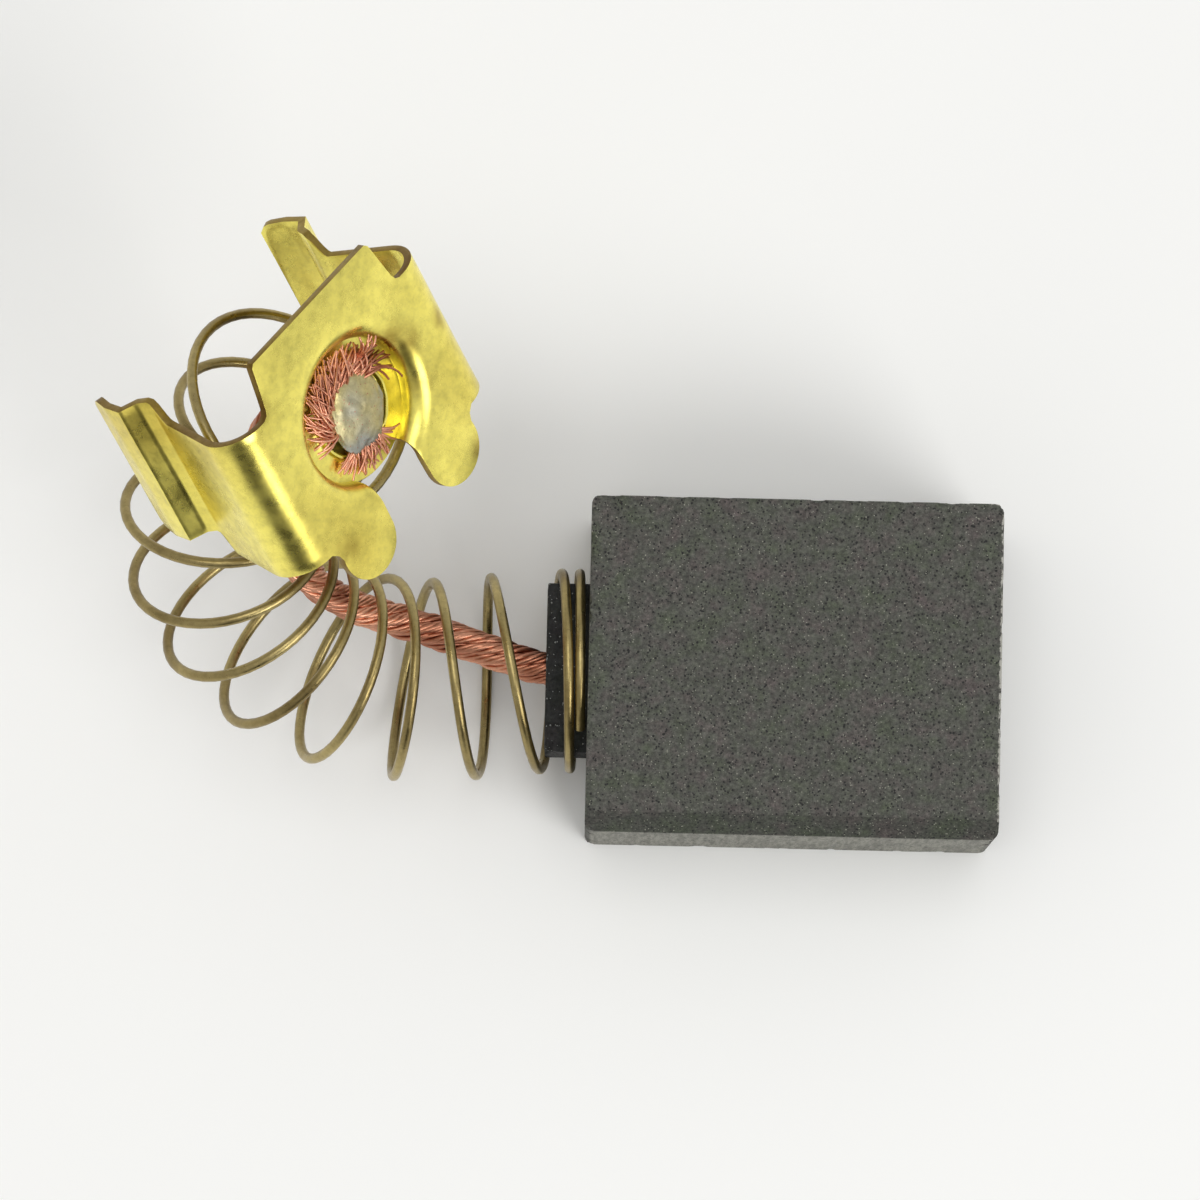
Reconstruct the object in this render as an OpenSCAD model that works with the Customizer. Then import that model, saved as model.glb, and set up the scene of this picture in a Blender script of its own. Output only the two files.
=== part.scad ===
// Carbon brush with a helical spring, a copper shunt and a pressed brass clip.
// Millimetres. Origin at the middle of the block's underside, +X towards the contact
// face, +Z up. The block lies flat and the bent spring carries the clip in the air.

/* [Carbon block] */
// length of the block from shoulder to contact face
block_length = 13.5; // [8:0.1:24]
// width of the block
block_width = 11; // [8:0.1:16]
// height of the block
block_height = 7; // [7:0.1:10]
// leg of the bevel along the upper front edge
bevel_leg = 0.65; // [0.2:0.05:1.5]
// leg of the small breaks on the four upright corners
corner_break = 0.22; // [0.05:0.01:0.6]
// width of the boss that centres the spring
boss_width = 5.6; // [4:0.1:5.6]
// height of the boss
boss_height = 2.35; // [1.6:0.05:2.4]
// how far the boss stands out from the shoulder
boss_length = 1.4; // [0.6:0.1:2.5]
// depth to which the shunt is pressed into the boss and block
shunt_depth = 5.2; // [2:0.1:8]

/* [Spring] */
// diameter of the spring wire
wire_diameter = 0.34; // [0.2:0.01:0.5]
// outside diameter of the coils
coil_diameter = 6.8; // [6.6:0.1:7]
// number of turns, closed ones included
coil_turns = 14; // [12:1:16]
// part of a turn cut off at the block end
first_cut = 0.15; // [0:0.05:0.5]
// advance of a closed turn
closed_pitch = 0.37; // [0.36:0.01:0.6]
// advance of an open turn
open_pitch = 2.32; // [1.5:0.01:2.6]
// turns that stay closed at the block end
closed_near = 1.24; // [0.5:0.01:3]
// turns over which the near end opens
opening_near = 0.76; // [0.4:0.01:2]
// turns that stay closed at the clip end
closed_far = 0.81; // [0.3:0.01:3]
// turns over which the far end closes
opening_far = 1.73; // [0.5:0.01:3]
// heading of the coil axis about the vertical at the first three sixths, degrees
near_heading = [187.4, 163.5, 127.8]; // [60:0.1:220]
// heading of the coil axis about the vertical at the last three sixths, degrees
far_heading = [78, 30.2, -13.3]; // [-40:0.1:120]
// rise of the coil axis above the level at the first three sixths, degrees
near_rise = [1.4, 34.4, 50]; // [-5:0.1:70]
// rise of the coil axis above the level at the last three sixths, degrees
far_rise = [52.6, 50.2, 42.3]; // [20:0.1:70]

/* [Shunt] */
// diameter of the stranded copper shunt
shunt_diameter = 1.16; // [0.8:0.01:1.3]
// number of bundles twisted together
bundle_count = 7; // [5:1:9]
// depth of the grooves between the bundles
groove_depth = 0.15; // [0.05:0.01:0.25]
// length in which a bundle goes once round
lay_length = 6.5; // [4:0.1:12]
// how far the shunt runs to the inner side of the bent spring
side_run = 1.98; // [0:0.01:2.1]
// turn of the spring at which the shunt is fully to the side
side_turn = 4.5; // [3.5:0.1:6]
// turn of the spring at which the shunt starts back to the middle
return_turn = 8.6; // [7:0.1:10]
// number of loose strand ends in the upper fan
upper_ends = 11; // [3:1:14]
// number of loose strand ends in the lower fan
lower_ends = 5; // [2:1:8]
// thickness of a loose bundle of strands
strand_diameter = 0.2; // [0.12:0.01:0.22]

/* [Clip plate] */
// thickness of the brass sheet
sheet = 0.25; // [0.2:0.01:0.35]
// turn of the clip about the spring's end, degrees
clip_spin = 55.5; // [0:0.5:90]
// half width of the tongue
tongue_half = 3.15; // [2.9:0.05:3.4]
// distance from the cup's middle to the tongue's end
tongue_end = 4.1; // [3:0.05:5]
// distance from the cup's middle to the shoulders' upper edge
shoulder_top = 2.2; // [1.5:0.05:2.8]
// distance from the cup's middle to the shoulders' lower edge
shoulder_low = 2.97; // [2.5:0.05:3.2]
// radius of a lobe's rounded end
lobe_radius = 1.06; // [0.8:0.02:1.2]
// distance of a lobe's middle from the line of symmetry
lobe_offset = 2.4; // [2.2:0.05:2.6]
// distance of a lobe's middle below the cup's middle
lobe_drop = 3.92; // [3.6:0.05:4.2]
// half width of the slot between the lobes
slot_half = 1.05; // [0.6:0.05:1.3]

/* [Clip cup] */
// inner radius of the cup at its floor
cup_radius = 2.28; // [2:0.02:2.36]
// depth of the cup's floor below the plate's face
cup_depth = 0.86; // [0.6:0.02:1.2]
// radius of the rolled rim
rim_radius = 0.32; // [0.15:0.01:0.4]
// radius of the collar round the soldered end
collar_radius = 1.36; // [1.2:0.02:1.6]
// height of the collar above the cup's floor
collar_height = 0.18; // [0.1:0.02:0.3]
// thickness of the collar
collar_wall = 0.14; // [0.08:0.01:0.2]

/* [Clip wings] */
// half width across the bends of the wings, at the sheet's middle
wing_half = 4.55; // [4.4:0.05:5.2]
// radius of the bend at the sheet's middle
bend_radius = 1.05; // [0.5:0.05:1.1]
// half width at the waist of the wings
waist_half = 4.2; // [3.9:0.02:4.5]
// depth of the waist behind the plate
waist_depth = 4; // [3.2:0.05:4.5]
// half width at the crease of the fingers
crease_half = 4.42; // [4:0.02:4.8]
// depth of the crease behind the plate
crease_depth = 5.15; // [4.6:0.05:5.6]
// half width at the fingers' free edge
finger_half = 4.46; // [4:0.02:5]
// depth of the fingers' free edge behind the plate
finger_depth = 6.65; // [5.8:0.05:7.4]
// how far the finger stands up past the shoulders' upper edge
finger_rise = 0.85; // [0.3:0.05:1.2]
// how far the finger stops short of the shoulders' lower edge
finger_short = 0.5; // [0.2:0.05:1.4]
// radius of the fingers' corners
finger_corner = 0.4; // [0.1:0.05:0.6]

/* [Solder] */
// radius of the solder button on the shunt's end
button_radius = 1.2; // [0.8:0.02:1.3]
// thickness of the solder button
button_height = 0.26; // [0.1:0.02:0.4]
// gap left between the loose strands and what they pass over or under
strand_gap = 0.02; // [0.01:0.01:0.05]

/* [Hidden] */
$fn = 64;
round_fn = 64;
arc_steps = 8;
// cuts and joints reach this far past a face so that no skin is left
over = 0.05;
// small extra that keeps the shunt inside its sleeve where they are one piece
skin = 0.03;
mid_height = block_height / 2;
wire_radius = wire_diameter / 2;
coil_radius = (coil_diameter - wire_diameter) / 2;
shunt_radius = shunt_diameter / 2;
shoulder_x = -block_length / 2;
boss_x = shoulder_x - boss_length;
headings = concat([180], near_heading, far_heading);
rises = concat([0], near_rise, far_rise);
// steps along the axis, along the wire and round the wire
axis_steps = 560;
wire_steps = 29;
wire_sides = 8;

function clamp(x, low, high) = min(max(x, low), high);
function smooth(x) = let (c = clamp(x, 0, 1)) c * c * (3 - 2 * c);
function unit(v) = v / norm(v);

// smooth curve through equally spaced values, u from 0 to 1
function through(values, u) =
  let (
    spans = len(values) - 1,
    k = min(floor(u * spans), spans - 1),
    f = u * spans - k,
    a = values[max(k - 1, 0)],
    b = values[k],
    c = values[k + 1],
    d = values[min(k + 2, spans)]
  )
  0.5 * (2 * b + (c - a) * f + (2 * a - 5 * b + 4 * c - d) * f * f
    + (3 * b - a - 3 * c + d) * f * f * f);

// direction, right hand side and upper side of the coil axis after a number of turns
function run(turn) = clamp((turn - 1) / (coil_turns - 2), 0, 1);
function heading(turn) = through(headings, run(turn));
function rise(turn) = through(rises, run(turn));
function ahead(turn) =
  let (h = heading(turn), r = rise(turn)) [cos(h) * cos(r), sin(h) * cos(r), sin(r)];
function above(turn) =
  let (h = heading(turn), r = rise(turn)) [-cos(h) * sin(r), -sin(h) * sin(r), cos(r)];
function aside(turn) = cross(ahead(turn), above(turn));
function advance(turn) = closed_pitch + (open_pitch - closed_pitch)
  * smooth((turn - closed_near) / opening_near)
  * smooth((coil_turns - closed_far - turn) / opening_far);

// the coil axis, added up step by step from the block's shoulder
step_turn = coil_turns / axis_steps;
axis_start = [shoulder_x - wire_radius, 0, mid_height];
axis_moves = [for (i = [0:axis_steps]) ahead(i * step_turn) * advance(i * step_turn) * step_turn];
axis_points = [
  for (i = 0, p = axis_start; i <= axis_steps;
    p = p + (axis_moves[i] + axis_moves[min(i + 1, axis_steps)]) / 2, i = i + 1) p
];
function axis_at(turn) =
  let (s = clamp(turn / step_turn, 0, axis_steps), k = min(floor(s), axis_steps - 1), f = s - k)
  axis_points[k] * (1 - f) + axis_points[k + 1] * f;

// frame of the clip: the middle of its plate's face, on the end of the coil axis
end_heading = far_heading[2];
end_rise = far_rise[2];
clip_z = ahead(coil_turns);
clip_x = above(coil_turns) * -cos(clip_spin)
  + cross(clip_z, -above(coil_turns)) * sin(clip_spin);
clip_y = cross(clip_z, clip_x);
clip_origin = axis_points[axis_steps] + clip_z * (sheet + wire_radius);
function on_clip(p) = clip_origin + clip_x * p[0] + clip_y * p[1] + clip_z * p[2];
floor_z = -cup_depth;
strand_z = floor_z + collar_height + strand_gap + strand_diameter / 2;
spread_z = strand_z + strand_diameter / 2 + strand_gap;

// faces of a tube whose rings follow one another in one list of points
function tube_faces(rings, sides) = concat(
  [for (j = [0:rings - 2], k = [0:sides - 1], half = [0:1])
    let (a = j * sides + k, b = j * sides + (k + 1) % sides)
    half == 0 ? [a, b, b + sides] : [a, b + sides, a + sides]],
  [[for (k = [sides - 1:-1:0]) k]],
  [[for (k = [0:sides - 1]) (rings - 1) * sides + k]]
);
function lead(path, i) = unit(path[min(i + 1, len(path) - 1)] - path[max(i - 1, 0)]);
function ring(centre, across, over_it, sides, radii, start) = [
  for (k = [0:sides - 1])
    centre + (across * cos(start + k * 360 / sides) + over_it * sin(start + k * 360 / sides))
      * radii[k % len(radii)]
];

module carbon_block() {
  color([0.27, 0.26, 0.25])
  difference() {
    union() {
      translate([shoulder_x, -block_width / 2, 0]) cube([block_length, block_width, block_height]);
      translate([boss_x, -boss_width / 2, mid_height - boss_height / 2])
        cube([boss_length + over, boss_width, boss_height]);
    }
    translate([shoulder_x - over, -block_width / 2, block_height])
      rotate([45, 0, 0])
        translate([0, -block_width, -bevel_leg * sin(45)])
          cube([block_length + 2 * over, 2 * block_width, 2 * block_width]);
    for (side = [-1, 1], end = [-1, 1])
      translate([end * block_length / 2, side * block_width / 2, -over])
        rotate([0, 0, 45])
          translate([0, 0, block_height / 2 + over])
            cube([corner_break * 2 * sin(45), corner_break * 2 * sin(45),
              block_height + 4 * over], center = true);
    translate([boss_x - over, 0, mid_height])
      rotate([0, 90, 0]) cylinder(h = shunt_depth + over, r = shunt_radius);
  }
}

// the wire of the spring, from its cut end at the block to the clip
first_step = round(first_cut * wire_steps);
last_step = coil_turns * wire_steps;
function wire_out(turn) = above(turn) * sin(360 * turn) - aside(turn) * cos(360 * turn);
wire_path = [
  for (j = [first_step:last_step])
    axis_at(j / wire_steps) + wire_out(j / wire_steps) * coil_radius
];
wire_points = [
  for (j = [0:len(wire_path) - 1])
    let (
      along = lead(wire_path, j),
      out = wire_out((j + first_step) / wire_steps),
      side = unit(cross(along, out))
    )
    each ring(wire_path[j], side, cross(side, along), wire_sides, [wire_radius], 0)
];

module spring() {
  color([0.52, 0.45, 0.26])
  polyhedron(points = wire_points, faces = tube_faces(len(wire_path), wire_sides), convexity = 20);
}

// the shunt's route: straight out of the boss, along the inner side of the bent
// spring, then straight through the hole in the cup's floor
function side_share(turn) =
  turn < side_turn ? sin(90 * clamp((turn - 1.9) / (side_turn - 1.9), 0, 1))
  : 1 - smooth((turn - return_turn) / (coil_turns - 1.6 - return_turn));
rough_route = concat(
  [for (i = [0:3]) [boss_x + 0.6 - 0.3 * i, 0, mid_height]],
  [for (turn = [2.15:0.125:12.1]) axis_at(turn) + aside(turn) * side_run * side_share(turn)],
  [for (z = [-2:0.25:floor_z + 0.01]) on_clip([0, 0, z])]
);
function eased(route) = [
  for (i = [0:len(route) - 1])
    i < 2 || i > len(route) - 6 ? route[i]
    : (route[i - 1] + route[i] * 2 + route[i + 1]) / 4
];
function eased_times(route, times) = times == 0 ? route : eased_times(eased(route), times - 1);
shunt_route = eased_times(rough_route, 14);
route_lengths = [
  for (i = 0, s = 0; i < len(shunt_route);
    s = s + norm(shunt_route[min(i + 1, len(shunt_route) - 1)] - shunt_route[i]), i = i + 1) s
];
shunt_sides = bundle_count * 4;
function bundle_radii(size) = [
  for (k = [0:3]) size - groove_depth * (1 - cos(k * 90)) / 2
];
function shunt_size(i) =
  (shunt_radius - skin) * (i < 2 || i > len(shunt_route) - 5 ? 1 : 1 + 0.04 * cos(i * 41));
shunt_points = [
  for (i = [0:len(shunt_route) - 1])
    let (
      along = lead(shunt_route, i),
      side = unit(cross(along, [0, 0, 1])),
      twist = -360 * route_lengths[i] / lay_length
    )
    each ring(shunt_route[i], side, cross(side, along), shunt_sides,
      bundle_radii(shunt_size(i)), twist)
];

// one loose end, bent out over the cup's floor and up towards its rim
module loose_end(angle, reach, lift, sway) {
  path = [for (i = [0:5]) let (u = i / 5)
    on_clip([
      cos(angle + sway * u * u) * (0.8 + (reach - 0.8) * u),
      sin(angle + sway * u * u) * (0.8 + (reach - 0.8) * u),
      strand_z + lift * clamp((u - 0.5) * 2, 0, 1)
    ])];
  points = [for (i = [0:5])
    let (along = lead(path, i), side = unit(cross(along, clip_z)))
    each ring(path[i], side, cross(side, along), 5, [strand_diameter / 2 * (1 - 0.05 * i)], 18)];
  polyhedron(points = points, faces = tube_faces(6, 5));
}

module on_clip_frame() {
  translate(clip_origin)
    rotate([0, 90 - end_rise, end_heading])
      rotate([0, 0, clip_spin]) children();
}

module shunt() {
  color([0.72, 0.42, 0.31])
  union() {
    translate([boss_x, 0, mid_height])
      rotate([0, 90, 0]) cylinder(h = shunt_depth, r = shunt_radius);
    polyhedron(points = shunt_points, faces = tube_faces(len(shunt_route), shunt_sides),
      convexity = 10);
    on_clip_frame() {
      translate([0, 0, floor_z - sheet - 0.1])
        cylinder(h = sheet + 0.1 + over, r = shunt_radius);
      translate([0, 0, floor_z]) cylinder(h = spread_z - floor_z, r = button_radius);
    }
    for (i = [0:upper_ends - 1])
      loose_end(36 + 116 * i / (upper_ends - 1), 1.8 + 0.16 * sin(i * 97),
        0.3 + 0.18 * cos(i * 143), 14 * sin(i * 61));
    for (i = [0:lower_ends - 1])
      loose_end(-122 + 52 * i / (lower_ends - 1), 1.84 + 0.1 * sin(i * 77),
        0.14 + 0.1 * cos(i * 113), 12 * cos(i * 71));
  }
}

// outline of the flat plate, the cup's opening left out
module plate_outline() {
  difference() {
    union() {
      translate([-tongue_half, 0]) square([2 * tongue_half, tongue_end]);
      translate([-wing_half + bend_radius, -shoulder_low])
        square([2 * (wing_half - bend_radius), shoulder_low + shoulder_top]);
      for (side = [-1, 1]) {
        translate([side * lobe_offset, -lobe_drop]) circle(r = lobe_radius);
        translate([side * (slot_half + tongue_half) / 2, -shoulder_low])
          square([tongue_half - slot_half, 2 * (lobe_drop - shoulder_low - 0.2)], center = true);
      }
    }
    circle(r = cup_radius + rim_radius);
    translate([-slot_half, -lobe_drop - 2]) square([2 * slot_half, lobe_drop + 2 - cup_radius]);
  }
}

// half section of the cup: rolled rim, wall, floor and collar
module cup_section() {
  wall = cup_radius + sheet;
  rim = cup_radius + rim_radius;
  polygon(concat(
    [[rim + over, 0], [rim + over, -sheet]],
    [for (i = [0:arc_steps]) let (a = 90 + 90 * i / arc_steps)
      [rim + over + (rim_radius - 0.2) * cos(a), -sheet - 0.1 + 0.1 * sin(a)]],
    [[wall, floor_z - sheet + 0.12], [wall - 0.1, floor_z - sheet]],
    [[shunt_radius, floor_z - sheet], [shunt_radius, floor_z]],
    [[collar_radius, floor_z], [collar_radius, floor_z + collar_height]],
    [[collar_radius + collar_wall, floor_z + collar_height]],
    [[collar_radius + collar_wall, floor_z]],
    [[cup_radius - 0.12, floor_z], [cup_radius, floor_z + 0.12]],
    [for (i = [arc_steps:-1:1]) let (a = 90 + 90 * i / arc_steps)
      [rim + rim_radius * cos(a), -rim_radius + rim_radius * sin(a)]]
  ));
}

// middle line of a wing's sheet from the plate to the finger's free edge
lean = atan((wing_half - waist_half) / (waist_depth - bend_radius));
wing_line = concat(
  [[wing_half - bend_radius - 0.3, -sheet / 2]],
  [for (i = [0:arc_steps]) let (a = 90 - (90 + lean) * i / arc_steps)
    [wing_half - bend_radius + bend_radius * cos(a), -sheet / 2 - bend_radius + bend_radius * sin(a)]],
  [[waist_half, -waist_depth], [crease_half, -crease_depth], [finger_half, -finger_depth]]
);
function beside(line, i, gap) =
  let (d = lead(line, i)) line[i] + [d[1], -d[0]] * gap;
module wing_section() {
  last = len(wing_line) - 1;
  polygon(concat(
    [for (i = [0:last]) beside(wing_line, i, -sheet / 2)],
    [for (i = [last:-1:0]) beside(wing_line, i, sheet / 2)]
  ));
}

// side view of a wing: wall up to the waist, then the longer finger
module wing_side() {
  low = -shoulder_low;
  finger_low = -shoulder_low + finger_short;
  finger_top = shoulder_top + finger_rise;
  c = finger_corner;
  translate([low, -waist_depth]) square([shoulder_low + shoulder_top, waist_depth + 1]);
  translate([finger_low, -finger_depth + c])
    square([finger_top - finger_low, finger_depth - waist_depth - c + 0.3]);
  translate([finger_low + c, -finger_depth - 1])
    square([finger_top - finger_low - 2 * c, 1 + finger_depth - waist_depth]);
  for (y = [finger_low + c, finger_top - c])
    translate([y, -finger_depth + c]) circle(r = c);
}

module wing() {
  intersection() {
    translate([0, 5, 0]) rotate([90, 0, 0]) linear_extrude(height = 10) wing_section();
    rotate([90, 0, 90]) linear_extrude(height = 8) wing_side();
  }
}

module terminal() {
  color([0.86, 0.76, 0.33])
  on_clip_frame() {
    union() {
      translate([0, 0, -sheet]) linear_extrude(height = sheet) plate_outline();
      difference() {
        rotate_extrude() cup_section();
        translate([-slot_half, -cup_radius - 2, floor_z + 0.02])
          cube([2 * slot_half, 2 + cup_radius * 0.3, cup_depth + 1]);
      }
      wing();
      mirror([1, 0, 0]) wing();
    }
  }
}

module solder_button() {
  color([0.55, 0.56, 0.53])
  on_clip_frame()
    translate([0, 0, spread_z]) cylinder(h = button_height, r1 = button_radius, r2 = button_radius * 0.86);
}

carbon_block();
spring();
shunt();
terminal();
solder_button();
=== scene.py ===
import math
import random

import bpy
import bmesh
from mathutils import Matrix, Vector, noise


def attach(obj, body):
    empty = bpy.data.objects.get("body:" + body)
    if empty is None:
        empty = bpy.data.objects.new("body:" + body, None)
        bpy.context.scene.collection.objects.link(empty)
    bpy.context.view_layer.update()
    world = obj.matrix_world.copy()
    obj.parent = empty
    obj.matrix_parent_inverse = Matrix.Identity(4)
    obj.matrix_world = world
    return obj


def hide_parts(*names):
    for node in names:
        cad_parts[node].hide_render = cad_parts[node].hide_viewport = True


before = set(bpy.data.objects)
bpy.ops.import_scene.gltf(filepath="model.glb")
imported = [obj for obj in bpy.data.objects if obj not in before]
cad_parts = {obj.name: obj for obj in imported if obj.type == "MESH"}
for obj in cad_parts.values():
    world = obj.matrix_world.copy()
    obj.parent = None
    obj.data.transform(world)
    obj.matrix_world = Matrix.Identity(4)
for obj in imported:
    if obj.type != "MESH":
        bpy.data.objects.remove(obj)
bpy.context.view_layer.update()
scene = bpy.context.scene
mm = 0.001
print("frame loaded")


# small helpers

def clamp(value, low, high):
    return min(max(value, low), high)


def smooth(value):
    part = clamp(value, 0.0, 1.0)
    return part * part * (3 - 2 * part)


def linkMesh(bm, name, material, smoothAngle=40):
    mesh = bpy.data.meshes.new(name)
    bm.to_mesh(mesh)
    bm.free()
    mesh.materials.append(material)
    mesh.shade_smooth()
    mesh.set_sharp_from_angle(angle=math.radians(smoothAngle))
    piece = bpy.data.objects.new(name, mesh)
    scene.collection.objects.link(piece)
    return piece


def bakeModifiers(piece, smoothAngle=40):
    # the finished mesh takes the place of the mesh with live modifiers
    graph = bpy.context.evaluated_depsgraph_get()
    mesh = bpy.data.meshes.new_from_object(piece.evaluated_get(graph))
    piece.modifiers.clear()
    piece.data = mesh
    mesh.shade_smooth()
    mesh.set_sharp_from_angle(angle=math.radians(smoothAngle))


def wirePiece(name, paths, radius, material, sides=3):
    data = bpy.data.curves.new(name, "CURVE")
    data.dimensions = "3D"
    data.bevel_depth = radius * mm
    data.bevel_resolution = sides
    data.use_fill_caps = True
    for path in paths:
        spline = data.splines.new("POLY")
        spline.points.add(len(path) - 1)
        for k, (point, share) in enumerate(path):
            spline.points[k].co = (point.x * mm, point.y * mm, point.z * mm, 1)
            spline.points[k].radius = share
    data.materials.append(material)
    piece = bpy.data.objects.new(name, data)
    scene.collection.objects.link(piece)
    return piece


# shader helpers

def newSurface(name):
    material = bpy.data.materials.new(name)
    material.use_nodes = True
    tree = material.node_tree
    return material, tree, tree.nodes["Principled BSDF"]


def addNode(tree, kind, **inputs):
    node = tree.nodes.new(kind)
    for key, value in inputs.items():
        node.inputs[key].default_value = value
    return node


def addRamp(tree, source, stops):
    ramp = tree.nodes.new("ShaderNodeValToRGB")
    elements = ramp.color_ramp.elements
    while len(elements) < len(stops):
        elements.new(0.5)
    for element, (place, shade) in zip(elements, stops):
        element.position = place
        element.color = (*shade, 1) if isinstance(shade, tuple) else (shade, shade, shade, 1)
    tree.links.new(source, ramp.inputs["Fac"])
    return ramp


def addMix(tree, factor, first, second, blend="MIX"):
    mix = tree.nodes.new("ShaderNodeMix")
    mix.data_type = "RGBA"
    mix.blend_type = blend
    for socket, value in ((mix.inputs[0], factor), (mix.inputs[6], first), (mix.inputs[7], second)):
        if isinstance(value, bpy.types.NodeSocket):
            tree.links.new(value, socket)
        elif isinstance(value, tuple):
            socket.default_value = (*value, 1)
        else:
            socket.default_value = value
    return mix.outputs[2]


def makeSpeckleGroup():
    # patches, specks and pits at one scale, for every worn or grained surface
    group = bpy.data.node_groups.new("speckle", "ShaderNodeTree")
    group.interface.new_socket("Scale", in_out="INPUT", socket_type="NodeSocketFloat")
    group.interface.new_socket("Spread", in_out="INPUT", socket_type="NodeSocketFloat")
    for name in ("Patches", "Grain", "Specks", "Height"):
        group.interface.new_socket(name, in_out="OUTPUT", socket_type="NodeSocketFloat")
    entry = group.nodes.new("NodeGroupInput")
    leave = group.nodes.new("NodeGroupOutput")
    place = group.nodes.new("ShaderNodeTexCoord")

    def scaled(factor):
        node = group.nodes.new("ShaderNodeMath")
        node.operation = "MULTIPLY"
        node.inputs[1].default_value = factor
        group.links.new(entry.outputs["Scale"], node.inputs[0])
        return node.outputs[0]

    patches = addNode(group, "ShaderNodeTexNoise", Detail=3.0, Roughness=0.55)
    grain = addNode(group, "ShaderNodeTexNoise", Detail=4.0, Roughness=0.7)
    cells = addNode(group, "ShaderNodeTexVoronoi", Randomness=1.0)
    for node, factor in ((patches, 0.12), (grain, 1.0), (cells, 1.4)):
        group.links.new(place.outputs["Object"], node.inputs["Vector"])
        group.links.new(scaled(factor), node.inputs["Scale"])
    speck = group.nodes.new("ShaderNodeMath")
    speck.operation = "LESS_THAN"
    vary = group.nodes.new("ShaderNodeMath")
    vary.operation = "MULTIPLY_ADD"  # the grain makes the specks uneven
    vary.inputs[1].default_value = 2.6
    vary.inputs[2].default_value = -0.5
    limit = group.nodes.new("ShaderNodeMath")
    limit.operation = "MULTIPLY"
    group.links.new(grain.outputs["Fac"], vary.inputs[0])
    group.links.new(entry.outputs["Spread"], limit.inputs[0])
    group.links.new(vary.outputs[0], limit.inputs[1])
    group.links.new(cells.outputs["Distance"], speck.inputs[0])
    group.links.new(limit.outputs[0], speck.inputs[1])
    height = group.nodes.new("ShaderNodeMath")
    height.operation = "MULTIPLY_ADD"
    height.inputs[1].default_value = -0.6
    group.links.new(speck.outputs[0], height.inputs[0])
    group.links.new(grain.outputs["Fac"], height.inputs[2])
    group.links.new(patches.outputs["Fac"], leave.inputs["Patches"])
    group.links.new(grain.outputs["Fac"], leave.inputs["Grain"])
    group.links.new(speck.outputs[0], leave.inputs["Specks"])
    group.links.new(height.outputs[0], leave.inputs["Height"])
    return group


speckleGroup = makeSpeckleGroup()


def addSpeckle(tree, scale, spread):
    node = tree.nodes.new("ShaderNodeGroup")
    node.node_tree = speckleGroup
    node.inputs["Scale"].default_value = scale
    node.inputs["Spread"].default_value = spread
    return node


def addBump(tree, shader, height, strength, distance):
    bump = addNode(tree, "ShaderNodeBump", Strength=strength, Distance=distance)
    tree.links.new(height, bump.inputs["Height"])
    tree.links.new(bump.outputs["Normal"], shader.inputs["Normal"])


# materials

def addMath(tree, kind, first, second=0.0, third=0.0):
    node = tree.nodes.new("ShaderNodeMath")
    node.operation = kind
    for socket, value in zip(node.inputs, (first, second, third)):
        if isinstance(value, bpy.types.NodeSocket):
            tree.links.new(value, socket)
        else:
            socket.default_value = value
    return node.outputs[0]


def facing(tree, direction, low, high):
    # how far the surface faces one way
    normal = tree.nodes.new("ShaderNodeNewGeometry")
    dot = tree.nodes.new("ShaderNodeVectorMath")
    dot.operation = "DOT_PRODUCT"
    dot.inputs[1].default_value = direction
    tree.links.new(normal.outputs["Normal"], dot.inputs[0])
    return addRamp(tree, dot.outputs["Value"], [(low, 0.0), (high, 1.0)]).outputs["Color"]


def nearEdge(tree, halves, centre):
    # distance to the nearest edge of a box: the second smallest distance to its faces
    place = tree.nodes.new("ShaderNodeTexCoord")
    parts = tree.nodes.new("ShaderNodeSeparateXYZ")
    tree.links.new(place.outputs["Object"], parts.inputs[0])
    x, y, z = [addMath(tree, "SUBTRACT", half, addMath(
        tree, "ABSOLUTE", addMath(tree, "SUBTRACT", parts.outputs[k], middle)))
        for k, (half, middle) in enumerate(zip(halves, centre))]
    return addMath(tree, "MAXIMUM", addMath(tree, "MINIMUM", x, y),
                   addMath(tree, "MINIMUM", addMath(tree, "MAXIMUM", x, y), z))


def sawnLines(tree):
    # saw marks that run up the block's long sides
    place = tree.nodes.new("ShaderNodeTexCoord")
    stretch = tree.nodes.new("ShaderNodeMapping")
    stretch.inputs["Scale"].default_value = (1.0, 1.0, 0.08)
    lines = addNode(tree, "ShaderNodeTexNoise", Scale=7200.0, Detail=2.0, Roughness=0.6)
    tree.links.new(place.outputs["Object"], stretch.inputs["Vector"])
    tree.links.new(stretch.outputs["Vector"], lines.inputs["Vector"])
    return addRamp(tree, lines.outputs["Fac"], [(0.36, 0.72), (0.62, 1.25)]).outputs["Color"]


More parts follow.
